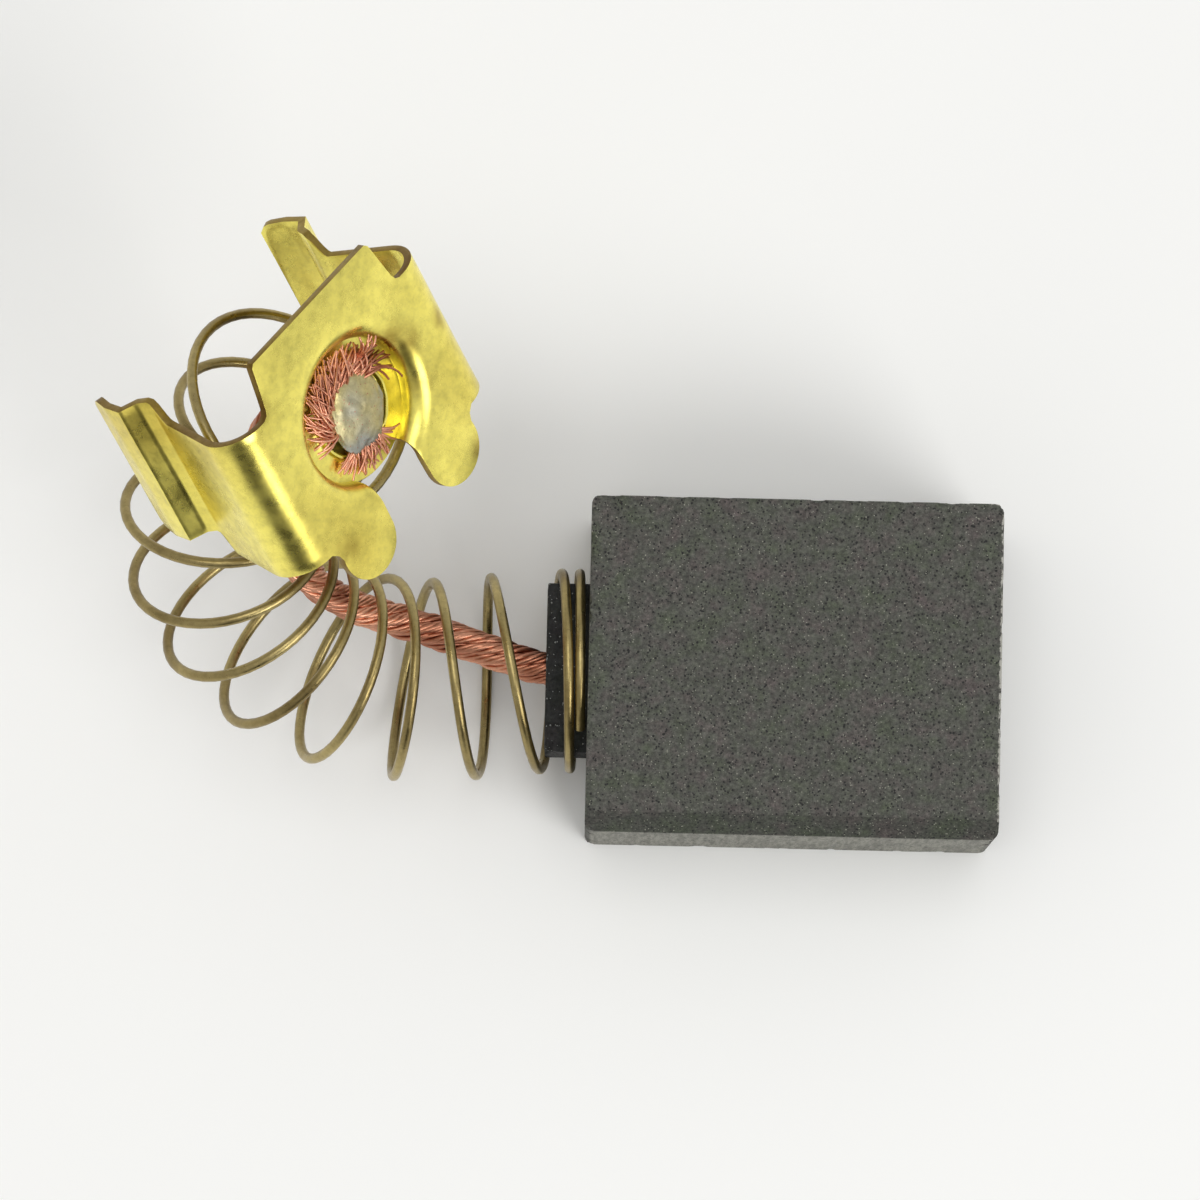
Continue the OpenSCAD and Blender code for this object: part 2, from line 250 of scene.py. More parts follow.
def makeCarbon(name, look, box=None):
    body = look["body"]
    material, tree, shader = newSurface(name)
    fine = addSpeckle(tree, 9500, 0.16)
    pits = addSpeckle(tree, look["pitScale"], 0.30)
    flecks = addSpeckle(tree, 5200, look["fleckSpread"])
    tint = addRamp(tree, fine.outputs["Patches"], [
        (0.3, tuple(c * k for c, k in zip(body, (0.93, 1.06, 0.84)))),
        (0.5, body),
        (0.72, tuple(c * k for c, k in zip(body, (1.16, 0.93, 1.06))))])
    grain = addRamp(tree, fine.outputs["Grain"], [(0.3, 0.4), (0.5, 0.95), (0.72, 1.8)])
    shade = addMix(tree, 1.0, tint.outputs["Color"], grain.outputs["Color"], "MULTIPLY")
    if box:
        # the front (-Y) side gets its own paler colour with saw marks: the saw marks are real, the
        # paleness is painted light from the key lamp on that side
        sawnLitSide = addMix(tree, 1.0, look["sawnLitSide"], sawnLines(tree), "MULTIPLY")
        shade = addMix(tree, facing(tree, (0, -1, 0), 0.86, 0.97), shade, sawnLitSide)
        # the bevel face is darkened only by the way it faces: painted shade
        bevel = addMix(tree, facing(tree, (0, -0.7071, 0.7071), 0.93, 0.985), (1, 1, 1),
                       look["bevel"])
        shade = addMix(tree, 1.0, shade, bevel, "MULTIPLY")
    shade = addMix(tree, pits.outputs["Specks"], shade, look["dark"])
    shade = addMix(tree, flecks.outputs["Specks"], shade, look["pale"])
    if box:  # worn, paler edges, broken up by the grain
        close = addRamp(tree, addMath(tree, "MULTIPLY", nearEdge(tree, *box), 1000.0),
                        [(0.0, 1.0), (0.22, 0.0)]).outputs["Color"]
        place = tree.nodes.new("ShaderNodeTexCoord")
        parts = tree.nodes.new("ShaderNodeSeparateXYZ")
        tree.links.new(place.outputs["Object"], parts.inputs[0])
        used = addMath(tree, "GREATER_THAN", parts.outputs[0], look["usedEnd"])
        close = addMath(tree, "MULTIPLY", close, addMath(tree, "MULTIPLY_ADD", used, 0.3, 0.7))
        worn = addRamp(tree, addMath(tree, "MULTIPLY", close, pits.outputs["Grain"]),
                       [(0.33, 0.0), (0.43, 0.85)]).outputs["Color"]
        shade = addMix(tree, worn, shade, look["worn"])
    tree.links.new(shade, shader.inputs["Base Color"])
    rough = addRamp(tree, pits.outputs["Grain"], [(0.3, 0.5), (0.7, 0.8)])
    tree.links.new(rough.outputs["Color"], shader.inputs["Roughness"])
    shader.inputs["Specular IOR Level"].default_value = 0.35
    addBump(tree, shader, pits.outputs["Height"], 0.5, 0.00004)
    return material


def paintShadeMarks(tree, shade, shadeMarks, colour):
    # painted shade: single darker marks where the clip's bends lie in shade and mirror dark parts; centre
    # in metres, radius and strength
    place = tree.nodes.new("ShaderNodeTexCoord")
    rough = addNode(tree, "ShaderNodeTexNoise", Scale=1500.0, Detail=3.0)
    tree.links.new(place.outputs["Object"], rough.inputs["Vector"])
    for centre, radius, strength in shadeMarks:
        far = tree.nodes.new("ShaderNodeVectorMath")
        far.operation = "DISTANCE"
        far.inputs[1].default_value = centre
        tree.links.new(place.outputs["Object"], far.inputs[0])
        close = addMath(tree, "SUBTRACT", 1.3, addMath(tree, "DIVIDE", far.outputs["Value"], radius))
        amount = addRamp(tree, addMath(tree, "MULTIPLY", close, rough.outputs["Fac"]),
                         [(0.1, 0.0), (0.55, strength)])
        shade = addMix(tree, amount.outputs["Color"], shade, colour)
    return shade


def makeMetal(name, bright, stain, edge, rough, scale, wear, bump, shadeMarks=()):
    # bare metal: patches of stain, darker specks, a rougher look where it is stained, and any given darker
    # marks, which are painted shade
    material, tree, shader = newSurface(name)
    shader.inputs["Metallic"].default_value = 1.0
    patch = addSpeckle(tree, scale, 0.12)
    specks = addSpeckle(tree, scale * 2.6, wear)
    amount = addRamp(tree, patch.outputs["Patches"], [(0.42, 0.0), (0.68, 1.0)])
    shade = addMix(tree, amount.outputs["Color"], bright, stain)
    soft = addRamp(tree, specks.outputs["Grain"], [(0.32, 0.78), (0.6, 1.0)])
    shade = addMix(tree, 1.0, shade, soft.outputs["Color"], "MULTIPLY")
    shade = addMix(tree, specks.outputs["Specks"], shade, edge)
    # the given darker marks, in the speck colour, are painted shade and painted reflection
    shade = paintShadeMarks(tree, shade, shadeMarks, edge)
    tree.links.new(shade, shader.inputs["Base Color"])
    dull = addRamp(tree, patch.outputs["Grain"], [(0.3, rough[0]), (0.7, rough[1])])
    tree.links.new(dull.outputs["Color"], shader.inputs["Roughness"])
    addBump(tree, shader, specks.outputs["Grain"], bump, 0.00003)
    return material


# the sawn colour below is the front side's: real saw marks, made paler as painted light from the key lamp
carbonMaterial = makeCarbon("groundCarbon", {
    # the bevel factor below is painted shade on the bevel face
    "body": (0.074, 0.075, 0.063), "dark": (0.016, 0.016, 0.015), "pale": (0.27, 0.27, 0.22),
    "sawnLitSide": (0.20, 0.197, 0.165), "bevel": (0.72, 0.74, 0.72), "worn": (0.46, 0.45, 0.40),
    "pitScale": 5400, "fleckSpread": 0.15, "usedEnd": 0.0063,
}, ((0.00675, 0.0055, 0.0035), (0, 0, 0.0035)))
bossMaterial = makeCarbon("pressedCarbon", {
    "body": (0.018, 0.019, 0.018), "dark": (0.005, 0.005, 0.005), "pale": (0.26, 0.27, 0.26),
    "pitScale": 5200, "fleckSpread": 0.2,
})
# the clip's brass carries six darker marks at given places on its bends: painted shade and painted
# reflection
brassMaterial = makeMetal("clipBrass", (1.0, 0.88, 0.20), (0.70, 0.55, 0.10),
                          (0.30, 0.19, 0.03), (0.22, 0.36), 900, 0.035, 0.10, [
                              ((-0.01294, 0.00862, 0.01754), 0.0011, 0.8),
                              ((-0.01230, 0.00760, 0.01670), 0.0007, 0.55),
                              ((-0.01040, 0.00610, 0.01410), 0.0005, 0.6),
                              ((-0.01160, 0.00990, 0.01640), 0.0005, 0.6),
                              ((-0.01700, 0.00620, 0.02130), 0.0005, 0.6),
                              ((-0.01440, 0.00250, 0.01740), 0.0006, 0.45)])
cutBrassMaterial = makeMetal("cutBrass", (0.34, 0.24, 0.06), (0.16, 0.09, 0.02),
                             (0.10, 0.05, 0.015), (0.3, 0.5), 2600, 0.1, 0.3)
wireMaterial = makeMetal("brownedWire", (0.44, 0.35, 0.15), (0.22, 0.16, 0.06),
                         (0.09, 0.06, 0.025), (0.24, 0.42), 2200, 0.10, 0.25)
copperMaterial = makeMetal("bareCopper", (0.90, 0.45, 0.29), (0.40, 0.14, 0.08),
                           (0.10, 0.03, 0.02), (0.28, 0.45), 2600, 0.12, 0.25)
solderMaterial = makeMetal("mottledSolder", (0.40, 0.40, 0.35), (0.70, 0.56, 0.14),
                           (0.42, 0.16, 0.12), (0.35, 0.6), 2400, 0.2, 0.6)
print("materials made")


# the coil axis: the same rule that the wire and the shunt follow

coil = {
    "turns": 13.6, "firstCut": 0.15, "wire": 0.34, "radius": 3.23,
    "start": Vector((-6.92, 0, 3.5)),
    "headings": (180, 186.6, 165.7, 133.6, 92.4, 49.5, -13.3),
    "rises": (0, -0.2, 28.3, 46, 52.8, 51.6, 42.3),
    "closedPitch": 0.37, "openPitch": 2.192,
    "closedNear": 1.14, "openingNear": 0.697, "closedFar": 0.039, "openingFar": 0.689,
    "sidePush": 2.476, "upPush": -0.147, "pushTurn": 10.312, "pushSpread": 1.517,
    "closing": 1.7, "closingTurn": 12.15, "closingBefore": 0.8, "closingAfter": 0.7,
    "steps": 816, "pointsPerTurn": 44,
}


def through(values, share):
    spans = len(values) - 1
    k = min(int(share * spans), spans - 1)
    f = share * spans - k
    a, b, c, d = values[max(k - 1, 0)], values[k], values[k + 1], values[min(k + 2, spans)]
    return 0.5 * (2 * b + (c - a) * f + (2 * a - 5 * b + 4 * c - d) * f * f
                  + (3 * b - a - 3 * c + d) * f ** 3)


def coilFrame(turn):
    share = clamp((turn - 1) / (coil["turns"] - 2), 0, 1)
    h = math.radians(through(coil["headings"], share))
    r = math.radians(through(coil["rises"], share))
    ahead = Vector((math.cos(h) * math.cos(r), math.sin(h) * math.cos(r), math.sin(r)))
    above = Vector((-math.cos(h) * math.sin(r), -math.sin(h) * math.sin(r), math.cos(r)))
    return ahead, above, ahead.cross(above)


def advance(turn):
    return coil["closedPitch"] + (coil["openPitch"] - coil["closedPitch"]) * smooth(
        (turn - coil["closedNear"]) / coil["openingNear"]) * smooth(
        (coil["turns"] - coil["closedFar"] - turn) / coil["openingFar"])


def buildAxis():
    step = coil["turns"] / coil["steps"]
    moves = [coilFrame(k * step)[0] * advance(k * step) * step for k in range(coil["steps"] + 1)]
    points = [coil["start"].copy()]
    for k in range(coil["steps"]):
        points.append(points[-1] + (moves[k] + moves[k + 1]) / 2)
    return points


axisPoints = buildAxis()


def freeAxis(turn):
    s = clamp(turn / coil["turns"] * coil["steps"], 0, coil["steps"])
    k = min(int(s), coil["steps"] - 1)
    return axisPoints[k].lerp(axisPoints[k + 1], s - k)


# frame of the clip, on the end of the coil axis
clipSize = {
    "sheet": 0.25, "spin": 55.5,
    "tongueHalf": 3.0, "tongueEnd": 4.4, "shoulderTop": 2.6, "shoulderLow": 2.75,
    "lobeRadius": 1.17, "lobeOffset": 2.25, "lobeDrop": 3.45, "slotHalf": 1.05,
    "cupRadius": 2.3, "cupDepth": 0.8, "rimRadius": 0.7,
    "collarRadius": 1.42, "collarWall": 0.17, "collarHeight": 0.18, "holeRadius": 0.58,
    "flatHalf": 3.7, "bendRadius": 1.225,
}
endAhead, endAbove, _ = coilFrame(coil["turns"])
spin = math.radians(clipSize["spin"])
clipX = endAbove * -math.cos(spin) + endAhead.cross(-endAbove) * math.sin(spin)
clipY = endAhead.cross(clipX)
clipOrigin = axisPoints[-1] + endAhead * (clipSize["sheet"] + coil["wire"] / 2)
clipPlace = Matrix((clipX, clipY, endAhead)).transposed().to_4x4()
clipPlace.translation = clipOrigin
clipToRow = Matrix.Scale(mm, 4) @ clipPlace


def axisAt(turn):
    share = smooth(1 - abs(turn - coil["pushTurn"]) / coil["pushSpread"])
    past = turn - coil["closingTurn"]
    spread = coil["closingAfter"] if past > 0 else coil["closingBefore"]
    closing = coil["closing"] * smooth(1 - abs(past) / spread)  # the last turns close up
    return (freeAxis(turn) + (clipX * coil["sidePush"] + clipY * coil["upPush"]) * share
            + endAhead * closing)


def buildSpring():
    first = int(coil["firstCut"] * coil["pointsPerTurn"])
    last = int(coil["turns"] * coil["pointsPerTurn"])
    path = []
    for k in range(first, last + 1):
        turn = k / coil["pointsPerTurn"]
        ahead, above, aside = coilFrame(turn)
        angle = math.tau * turn
        out = above * math.sin(angle) - aside * math.cos(angle)
        path.append((axisAt(turn) + out * coil["radius"], 1.0))
    piece = wirePiece("springWire", [path], coil["wire"] / 2, wireMaterial, sides=5)
    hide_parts("spring")
    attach(piece, "root")
    return piece


buildSpring()
print("spring made")


# carbon block

blockSize = {
    "length": 13.5, "width": 11.0, "height": 7.0, "bevelLeg": 0.65, "cornerRadius": 0.3,
    "edgeRadius": 0.07, "cuts": 84, "chipDepth": 0.22, "seed": 4.0,
    "bossLength": 1.4, "bossWidth": 5.6, "bossHeight": 2.35, "bossCuts": 22,
}


def roundCorner(point, halves, radius, axes):
    # pulls a point of a box's skin on to a rounded edge between two of its faces
    a, b = axes
    inner = [halves[a] - radius, halves[b] - radius]
    da, db = abs(point[a]) - inner[0], abs(point[b]) - inner[1]
    if da > 0 and db > 0:
        far = math.hypot(da, db)
        point[a] = math.copysign(inner[0] + da / far * radius, point[a])
        point[b] = math.copysign(inner[1] + db / far * radius, point[b])


def chip(point, halves, depth, seed):
    # small bites out of the edges, where two faces are near
    near = sorted(halves[k] - abs(point[k]) for k in range(3))
    edge = 1 - smooth(near[1] / (depth * 2.2))
    if edge <= 0:
        return
    bite = noise.noise(Vector((point.x * 0.9 + seed, point.y * 0.9, point.z * 0.9)))
    fine = noise.noise(point * 3.1 + Vector((seed, 0, 0)))
    amount = max(0.0, bite * 0.7 + fine * 0.5 - 0.12) * depth * edge * 1.6
    point -= point.normalized() * 0 + Vector(
        [math.copysign(amount if halves[k] - abs(point[k]) < depth * 2.2 else 0, point[k])
         for k in range(3)])


def boxShell(size, cuts):
    bm = bmesh.new()
    bmesh.ops.create_cube(bm, size=1.0)
    bmesh.ops.subdivide_edges(bm, edges=bm.edges[:], cuts=cuts, use_grid_fill=True)
    bmesh.ops.scale(bm, vec=Vector(size), verts=bm.verts[:])
    return bm


def buildBlock():
    s = blockSize
    halves = [s["length"] / 2, s["width"] / 2, s["height"] / 2]
    bm = boxShell((s["length"], s["width"], s["height"]), s["cuts"])
    for vert in bm.verts:
        p = vert.co.copy()
        over = -p.y - halves[1] + p.z - halves[2] + s["bevelLeg"]
        if over > 0:  # the bevel along the upper front edge
            p.y += over / 2
            p.z -= over / 2
        roundCorner(p, halves, s["cornerRadius"], (0, 1))
        roundCorner(p, halves, s["edgeRadius"], (0, 2))
        roundCorner(p, halves, s["edgeRadius"], (1, 2))
        chip(p, halves, s["chipDepth"], s["seed"])
        vert.co = p
    bmesh.ops.translate(bm, vec=Vector((0, 0, halves[2])), verts=bm.verts[:])
    bmesh.ops.scale(bm, vec=Vector((mm, mm, mm)), verts=bm.verts[:])
    piece = linkMesh(bm, "carbonBody", carbonMaterial, 60)
    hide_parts("carbon_block")
    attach(piece, "root")

    bossHalves = [s["bossLength"] / 2 + 0.05, s["bossWidth"] / 2, s["bossHeight"] / 2]
    bm = boxShell([2 * h for h in bossHalves], s["bossCuts"])
    for vert in bm.verts:
        p = vert.co.copy()
        for axes in ((0, 1), (0, 2), (1, 2)):
            roundCorner(p, bossHalves, s["edgeRadius"], axes)
        chip(p, bossHalves, 0.14, 9.0)
        vert.co = p
    bmesh.ops.translate(bm, vec=Vector((-halves[0] - s["bossLength"] / 2 + 0.05, 0, halves[2])),
                        verts=bm.verts[:])
    bmesh.ops.scale(bm, vec=Vector((mm, mm, mm)), verts=bm.verts[:])
    boss = linkMesh(bm, "springBoss", bossMaterial, 60)
    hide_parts("carbon_block")
    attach(boss, "root")


buildBlock()
print("block made")


# terminal clip

wingLine = [  # half width and depth of the wing's outer face past its bend
    (4.28, 3.75), (4.22, 4.15), (4.36, 4.55), (4.86, 4.92), (4.74, 5.7), (4.38, 6.62)]


def plateOutline():
    # right half from the middle of the tongue's end to the slot, then round the cup
    s = clipSize
    half = [(0, s["tongueEnd"]), (s["tongueHalf"] - 0.12, s["tongueEnd"]),
            (s["tongueHalf"], s["tongueEnd"] - 0.12),
            (s["tongueHalf"] + 0.18, s["shoulderTop"] + 0.7),
            (s["tongueHalf"] + 0.27, s["shoulderTop"] + 0.27),
            (s["tongueHalf"] + 0.36, s["shoulderTop"] + 0.08),
            (s["tongueHalf"] + 0.52, s["shoulderTop"])]
    half += [(s["flatHalf"], y) for y in wingRows()]
    half += [(s["flatHalf"] - 0.22, -s["shoulderLow"] - 0.2)]
    for k in range(25):
        a = math.radians(12 - 192 * k / 24)
        half.append((s["lobeOffset"] + s["lobeRadius"] * math.cos(a),
                     -s["lobeDrop"] + s["lobeRadius"] * math.sin(a)))
    half = [(max(x, s["slotHalf"]) if y < -2.9 and x < 2 else x, y) for x, y in half]
    return half


def wingRows():
    s = clipSize
    return [s["shoulderTop"] - (s["shoulderTop"] + s["shoulderLow"]) * k / wingRowCount
            for k in range(wingRowCount + 1)]


wingRowCount = 18
cupSteps = 96


def slotAngle(radius):
    return math.asin(clamp(clipSize["slotHalf"] / radius, 0, 1))


def cupRing(radius, count):
    # angles round the cup from one side of the slot to the other
    start = -math.pi / 2 + slotAngle(radius)
    sweep = math.tau - 2 * slotAngle(radius)
    return [start + sweep * k / count for k in range(count + 1)]


def addPlate(bm):
    s = clipSize
    rim = s["cupRadius"] + s["rimRadius"]
    half = plateOutline()
    ring = [(rim * math.cos(a), rim * math.sin(a)) for a in cupRing(rim, cupSteps)]
    outline = half + ring + [(-x, y) for x, y in reversed(half[1:])]
    verts = []
    for x, y in outline:
        if not verts or (Vector((x, y, 0)) - verts[-1].co).length > 1e-4:
            verts.append(bm.verts.new((x, y, 0)))
    edges = [bm.edges.new((a, b)) for a, b in zip(verts, verts[1:] + verts[:1])]
    filled = bmesh.ops.triangle_fill(bm, use_beauty=True, edges=edges, normal=(0, 0, 1))
    return filled


def addCupWall(bm):
    s = clipSize
    rim = s["cupRadius"] + s["rimRadius"]
    profile = []
    for k in range(11):
        a = math.radians(90 + 90 * k / 10)
        profile.append((rim + s["rimRadius"] * math.cos(a),
                        -s["rimRadius"] + s["rimRadius"] * math.sin(a)))
    profile.append((s["cupRadius"], -s["cupDepth"] - 0.05))
    made = bmesh.ops.create_grid(bm, x_segments=cupSteps, y_segments=len(profile) - 1, size=0.5)
    for vert in made["verts"]:
        column = round((vert.co.x + 0.5) * cupSteps)
        row = round((vert.co.y + 0.5) * (len(profile) - 1))
        radius, z = profile[row]
        a = cupRing(radius, cupSteps)[column]
        vert.co = (radius * math.cos(a), radius * math.sin(a), z)


def wingPoint(share):
    # outer face of the wing from the plate (0) to the finger's free edge (1)
    s = clipSize
    centre = (s["flatHalf"], -s["bendRadius"])
    lean = math.atan2(s["flatHalf"] + s["bendRadius"] - wingLine[0][0],
                      wingLine[0][1] - s["bendRadius"])
    if share < 0.4:
        a = math.pi / 2 - (math.pi / 2 + lean) * share / 0.4
        return centre[0] + s["bendRadius"] * math.cos(a), centre[1] + s["bendRadius"] * math.sin(a)
    t = (share - 0.4) / 0.6
    start = (centre[0] + s["bendRadius"] * math.cos(-lean),
             s["bendRadius"] - s["bendRadius"] * math.sin(-lean))
    line = [start] + wingLine
    k = min(int(t * (len(line) - 1)), len(line) - 2)
    f = t * (len(line) - 1) - k
    x = line[k][0] + (line[k + 1][0] - line[k][0]) * f
    return x, -(line[k][1] + (line[k + 1][1] - line[k][1]) * f)


def addWing(bm, side):
    s = clipSize
    rows = wingRows()
    steps = 50
    made = bmesh.ops.create_grid(bm, x_segments=steps, y_segments=wingRowCount, size=0.5)
    for vert in made["verts"]:
        u = clamp(vert.co.x + 0.5, 0, 1)
        k = round((vert.co.y + 0.5) * wingRowCount)
        x, z = wingPoint(u)
        depth = -z
        y = rows[k]
        part = smooth((depth - 3.75) / 0.5)   # the wall steps out into the finger
        top = s["shoulderTop"] + 0.85 * part
        low = -s["shoulderLow"] + 0.9 * part
        corner = clamp((depth - 6.2) / 0.45, 0, 1)
        inset = 0.45 * (1 - math.sqrt(max(0.0, 1 - corner * corner)))
        share = (y + s["shoulderLow"]) / (s["shoulderTop"] + s["shoulderLow"])
        y = low + inset + (top - low - 2 * inset) * share
        vert.co = (side * x, y, z)
    return made


def buildTerminal():
    s = clipSize
    bm = bmesh.new()
    addPlate(bm)
    addCupWall(bm)
    addWing(bm, 1)
    addWing(bm, -1)
    bmesh.ops.remove_doubles(bm, verts=bm.verts[:], dist=0.012)
    bmesh.ops.recalc_face_normals(bm, faces=bm.faces[:])
    bm.faces.ensure_lookup_table()
    flat = [face for face in bm.faces if abs(face.normal.z) > 0.99 and face.calc_area() > 0.05]
    if sum(face.normal.z for face in flat) < 0:
        bmesh.ops.reverse_faces(bm, faces=bm.faces[:])
    for vert in bm.verts:  # a little unevenness from the press and from handling
        p = vert.co
        wave = noise.noise(p * 0.35 + Vector((3, 1, 7)))
        vert.co = p + Vector((0, 0, 0.06 * wave)) * smooth((p.xy.length - 3.1) / 2)
    bmesh.ops.transform(bm, matrix=clipToRow, verts=bm.verts[:])
    sheet = linkMesh(bm, "clipSheet", brassMaterial, 50)
    thick = sheet.modifiers.new("thickness", "SOLIDIFY")
    thick.thickness = s["sheet"] * mm
    thick.offset = -1
    thick.use_even_offset = True
    thick.use_quality_normals = True
    sheet.data.materials.append(cutBrassMaterial)
    thick.material_offset_rim = 1
    edge = sheet.modifiers.new("softEdge", "BEVEL")
    edge.width = 0.035 * mm
    edge.segments = 2
    edge.limit_method = "ANGLE"
    edge.angle_limit = math.radians(55)
    bakeModifiers(sheet, 42)
    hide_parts("terminal")
    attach(sheet, "root")

    # floor of the cup with its turned-up collar, spun round the cup's axis
    bm = bmesh.new()
    floor = -s["cupDepth"]
    inner = s["collarRadius"]
    outer = inner + s["collarWall"]
    high = floor + s["collarHeight"]
    profile = [(s["holeRadius"], floor - s["sheet"]), (s["holeRadius"], floor), (inner - 0.1, floor),
               (inner, floor + 0.05), (inner, high - 0.06), (inner + 0.05, high),
               (outer - 0.05, high), (outer, high - 0.06), (outer, floor + 0.06),
               (outer + 0.08, floor), (s["cupRadius"] + 0.02, floor),
               (s["cupRadius"] + 0.08, floor - 0.08),
               (s["cupRadius"] + 0.08, floor - s["sheet"] + 0.05),
               (s["cupRadius"], floor - s["sheet"])]
    verts = [bm.verts.new((r, 0, z)) for r, z in profile]
    edges = [bm.edges.new(pair) for pair in zip(verts, verts[1:] + verts[:1])]
    bmesh.ops.spin(bm, geom=verts + edges, axis=(0, 0, 1), cent=(0, 0, 0), angle=math.tau,
                   steps=96, use_merge=True)
    bmesh.ops.remove_doubles(bm, verts=bm.verts[:], dist=0.0005)
    bmesh.ops.recalc_face_normals(bm, faces=bm.faces[:])
    for vert in bm.verts:
        r = vert.co.xy.length
        if inner - 0.02 < r < outer + 0.02 and vert.co.z > floor + 0.04:
            vert.co.z += 0.035 * noise.noise(vert.co * 2.6)
    bmesh.ops.transform(bm, matrix=clipToRow, verts=bm.verts[:])
    cup = linkMesh(bm, "cupFloor", brassMaterial, 42)
    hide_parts("terminal")
    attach(cup, "root")


buildTerminal()
print("terminal made")


# shunt

shuntSize = {
    "bundles": 7, "wiresPerBundle": 6, "radius": 0.56, "lay": 6.5, "bundleLay": 2.3,
    "wireRadius": 0.085, "sideRun": 1.98, "sideTurn": 4.5, "returnTurn": 8.6, "step": 0.16,
}


def sideShare(turn):
    s = shuntSize
    if turn < s["sideTurn"]:
        return math.sin(math.pi / 2 * clamp((turn - 1.9) / (s["sideTurn"] - 1.9), 0, 1))
    return 1 - smooth((turn - s["returnTurn"]) / (coil["turns"] - 1.6 - s["returnTurn"]))


def onClip(x, y, z):
    return clipOrigin + clipX * x + clipY * y + endAhead * z


def shuntRoute():
    route = [Vector((-7.55 - 0.3 * k, 0, 3.5)) for k in range(4)]
    count = 80
    for k in range(count + 1):
        turn = 2.15 + (12.1 - 2.15) * k / count
        route.append(freeAxis(turn) + coilFrame(turn)[2] * shuntSize["sideRun"] * sideShare(turn))
    route += [onClip(0, 0, -2 + 0.25 * k) for k in range(6)]
    for _ in range(14):
        route = route[:2] + [(route[k - 1] + route[k] * 2 + route[k + 1]) / 4
                             for k in range(2, len(route) - 5)] + route[-5:]
    even = [route[0]]
    left = shuntSize["step"]
    for a, b in zip(route, route[1:]):
        span = (b - a).length
        while left <= span:
            even.append(a.lerp(b, left / span))
            left += shuntSize["step"]
        left -= span
    return even


def buildShunt():
    s = shuntSize
    route = shuntRoute()
    last = len(route) - 1
    side = (route[1] - route[0]).cross(Vector((0, 0, 1))).normalized()
    frames = []
    for k in range(len(route)):
        along = (route[min(k + 1, last)] - route[max(k - 1, 0)]).normalized()
        side = (side - along * side.dot(along)).normalized()
        frames.append((route[k], side, along.cross(side)))
    paths = []
    draw = random.Random(11)
    bundleRadius = s["radius"] * 0.36
    ringRadius = s["radius"] - bundleRadius
    for b in range(s["bundles"]):
        centre = 0.0 if b == 0 else ringRadius
        for w in range(s["wiresPerBundle"]):
            phase = draw.random() * 0.5
            loose = draw.uniform(0.9, 1.1)
            path = []
            for k, (point, across, up) in enumerate(frames):
                run = k * s["step"]
                a = -math.tau * (run / s["lay"] + b / (s["bundles"] - 1))
                c = -math.tau * (run / s["bundleLay"] + (w + phase) / s["wiresPerBundle"])
                wobble = 1 + 0.10 * noise.noise(Vector((run * 0.9, b * 3.7, w * 5.1)))
                inner = (bundleRadius - s["wireRadius"] * 0.7) * loose * wobble
                x = centre * math.cos(a) * wobble + inner * math.cos(c)
                y = centre * math.sin(a) * wobble + inner * math.sin(c)
                path.append((point + across * x + up * y, 1.0))
            paths.append(path)
    piece = wirePiece("shuntStrands", paths, s["wireRadius"], copperMaterial, sides=1)
    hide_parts("shunt")
    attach(piece, "root")


fanSize = {"upper": 190, "lower": 64, "wireRadius": 0.048, "seed": 5}


def fanPath(draw, angle, reach, sway, start, lift, drop):
    path = []
    for k in range(9):
        u = k / 8
        a = math.radians(angle + sway * u)
        r = start + (reach - start) * u
        z = -clipSize["cupDepth"] + 0.3 + lift * math.sin(math.pi * u) - drop * u
        path.append((onClip(r * math.cos(a), r * math.sin(a), z), 1.0 - 0.25 * u))
    return path


def buildFan():
    # the shunt's ends, beaten out over the floor of the cup
    draw = random.Random(fanSize["seed"])
    paths = []
    for _ in range(fanSize["upper"]):
        paths.append(fanPath(draw, draw.uniform(42, 190), draw.uniform(1.75, 2.2),
                             draw.uniform(-62, 8), draw.uniform(0.85, 1.3),
                             draw.uniform(0.02, 0.30), draw.uniform(-0.12, 0.2)))
    for _ in range(fanSize["lower"]):
        paths.append(fanPath(draw, draw.uniform(228, 292), draw.uniform(1.6, 2.2),
                             draw.uniform(-20, 20), draw.uniform(0.7, 1.15),
                             draw.uniform(0.0, 0.16), draw.uniform(0.0, 0.2)))
    for _ in range(9):  # a small tuft that stands up at the rim
        paths.append(fanPath(draw, draw.uniform(52, 62), draw.uniform(2.2, 2.5),
                             draw.uniform(-8, 8), 1.7, draw.uniform(0.1, 0.3),
                             draw.uniform(-0.7, -0.4)))
    piece = wirePiece("looseStrands", paths, fanSize["wireRadius"], copperMaterial, sides=1)
    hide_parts("shunt")
    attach(piece, "root")


def buildSolder():
    bm = bmesh.new()
    bmesh.ops.create_uvsphere(bm, u_segments=72, v_segments=36, radius=1.0)
    for vert in bm.verts:
        p = vert.co.normalized()
        lump = 1 + 0.12 * noise.noise(p * 1.6) + 0.05 * noise.noise(p * 5)
        z = max(p.z, -0.35)
        vert.co = Vector((p.x * 1.16 * lump, p.y * 1.3 * lump, z * 0.3 * lump + 0.05 * noise.noise(p * 4)))
    turn = Matrix.Rotation(math.radians(-20), 4, "Z")
    lift = Matrix.Translation((0.05, -0.05, -clipSize["cupDepth"] + 0.34))
    bmesh.ops.transform(bm, matrix=clipToRow @ lift @ turn, verts=bm.verts[:])
    piece = linkMesh(bm, "solderBlob", solderMaterial, 80)
    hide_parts("solder_button")
    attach(piece, "root")


buildShunt()
buildFan()
buildSolder()
print("shunt and solder made")


# floor, lamps and camera

stageSize = {"half": 0.6, "shade": (0.955, 0.955, 0.935), "sky": 0.62,
             "darkSide": (0.25, -0.93, 0.27)}


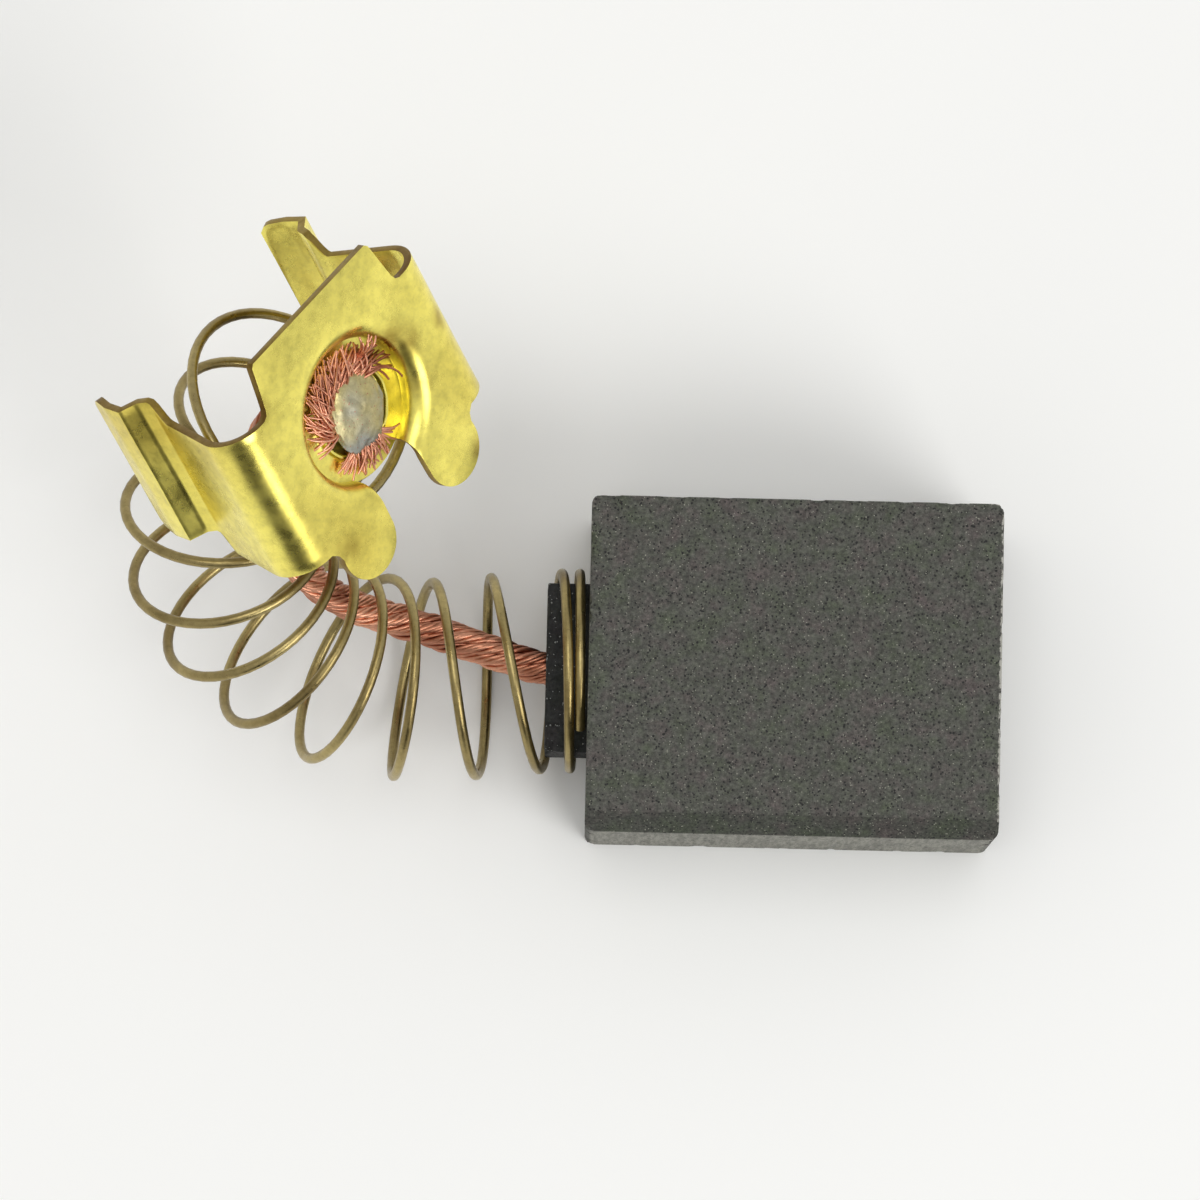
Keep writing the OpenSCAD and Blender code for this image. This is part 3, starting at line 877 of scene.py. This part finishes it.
def buildSky():
    # an even sky with one dark side, which the bends of the clip mirror
    world = bpy.data.worlds.new("softRoom")
    world.use_nodes = True
    tree = world.node_tree
    place = tree.nodes.new("ShaderNodeTexCoord")
    dot = tree.nodes.new("ShaderNodeVectorMath")
    dot.operation = "DOT_PRODUCT"
    dot.inputs[1].default_value = stageSize["darkSide"]
    tree.links.new(place.outputs["Generated"], dot.inputs[0])
    level = stageSize["sky"]
    room = addRamp(tree, dot.outputs["Value"], [(0.80, level), (0.93, level * 0.06)])
    path = tree.nodes.new("ShaderNodeLightPath")
    shade = addMix(tree, path.outputs["Is Camera Ray"], room.outputs["Color"], (1, 1, 1))
    tree.links.new(shade, tree.nodes["Background"].inputs["Color"])
    return world


def buildStage():
    bm = bmesh.new()
    bmesh.ops.create_grid(bm, x_segments=1, y_segments=1, size=stageSize["half"])
    material, tree, shader = newSurface("paleTable")
    soft = addNode(tree, "ShaderNodeTexNoise", Scale=40.0, Detail=2.0)
    shade = addRamp(tree, soft.outputs["Fac"],
                    [(0.3, tuple(c * 0.985 for c in stageSize["shade"])), (0.7, stageSize["shade"])])
    tree.links.new(shade.outputs["Color"], shader.inputs["Base Color"])
    shader.inputs["Roughness"].default_value = 0.9
    shader.inputs["Specular IOR Level"].default_value = 0.1
    floor = linkMesh(bm, "tableTop", material)
    scene.world = buildSky()


def addLamp(name, place, target, size, share):
    # share is the part of a white surface's brightness that this lamp gives at its target
    data = bpy.data.lights.new(name, "AREA")
    data.shape = "DISK"
    data.size = size
    lamp = bpy.data.objects.new(name, data)
    lamp.location = place
    away = Vector(target) - Vector(place)
    lamp.rotation_euler = away.to_track_quat("-Z", "Y").to_euler()
    data.energy = share * math.pi ** 2 * away.length_squared / max(0.2, abs(away.normalized().z))
    scene.collection.objects.link(lamp)


def buildCamera():
    view = {"elevation": 84.197, "roll": 1.324, "distance": 0.240, "lens": 213.96,
            "target": Vector((-0.006416, 0.002743, 0))}
    e, r = math.radians(view["elevation"]), math.radians(view["roll"])
    upward = Vector((0, math.sin(e), math.cos(e)))
    right = Vector((math.cos(r), 0, 0)) + upward * math.sin(r)
    top = upward * math.cos(r) - Vector((math.sin(r), 0, 0))
    data = bpy.data.cameras.new("viewCamera")
    data.sensor_width = 36
    data.lens = view["lens"]
    data.clip_end = 10
    camera = bpy.data.objects.new("viewCamera", data)
    place = Matrix((right, top, right.cross(top))).transposed().to_4x4()
    place.translation = view["target"] + view["distance"] * Vector((0, -math.cos(e), math.sin(e)))
    camera.matrix_world = place
    scene.collection.objects.link(camera)
    scene.camera = camera


buildStage()
addLamp("keyLamp", (0.56, -0.50, 0.60), (-0.006, 0.003, 0.005), 0.60, 0.25)
addLamp("topLamp", (-0.04, 0.10, 0.95), (-0.006, 0.003, 0.005), 0.60, 0.20)
buildCamera()
scene.view_settings.view_transform = "Standard"
print("stage made")
